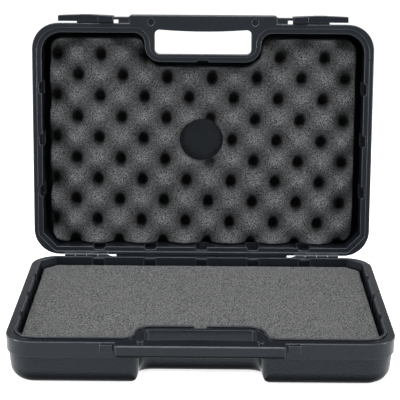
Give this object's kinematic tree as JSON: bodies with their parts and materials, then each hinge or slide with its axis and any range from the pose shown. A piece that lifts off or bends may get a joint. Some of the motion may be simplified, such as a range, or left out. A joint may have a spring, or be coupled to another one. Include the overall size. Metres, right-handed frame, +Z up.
{
  "type": "instrument case",
  "caption": "Moulded carrying case with a hinged lid, sliding latches, a two-half handle, a flat foam in the base and an egg-crate foam in the lid, shown open.",
  "frame": {"origin": "middle of the base's underside, on the surface that it stands on", "axes": "+X to the right along the longest side, -Y towards the handle, +Z up"},
  "size_m": [0.3418, 0.3108, 0.2864],
  "materials": {
    "shell_plastic": "satin",
    "slider_plastic": "satin",
    "pin_steel": "satin",
    "flat_foam": "matte",
    "crate_foam": "matte"
  },
  "bodies": {
    "base": {"base_shell": "shell_plastic", "hinge_pin_left": "pin_steel", "hinge_pin_right": "pin_steel", "base_foam": "flat_foam"},
    "lid": {"lid_shell": "shell_plastic", "lid_foam": "crate_foam"},
    "latch_left": {"latch_slider_left": "slider_plastic"},
    "latch_right": {"latch_slider_right": "slider_plastic"}
  },
  "joints": [
    {"name": "lid_hinge", "type": "hinge", "parent": "base", "child": "lid", "pos_m": [0, 0.1187, 0.0426], "axis": [1, 0, 0], "range_deg": [0, 96.2]},
    {"name": "latch_left_slide", "type": "slide", "parent": "lid", "child": "latch_left", "axis": [1, 0, 0], "range_m": [0, 0.0145]},
    {"name": "latch_right_slide", "type": "slide", "parent": "lid", "child": "latch_right", "axis": [-1, 0, 0], "range_m": [0, 0.0145]}
  ]
}
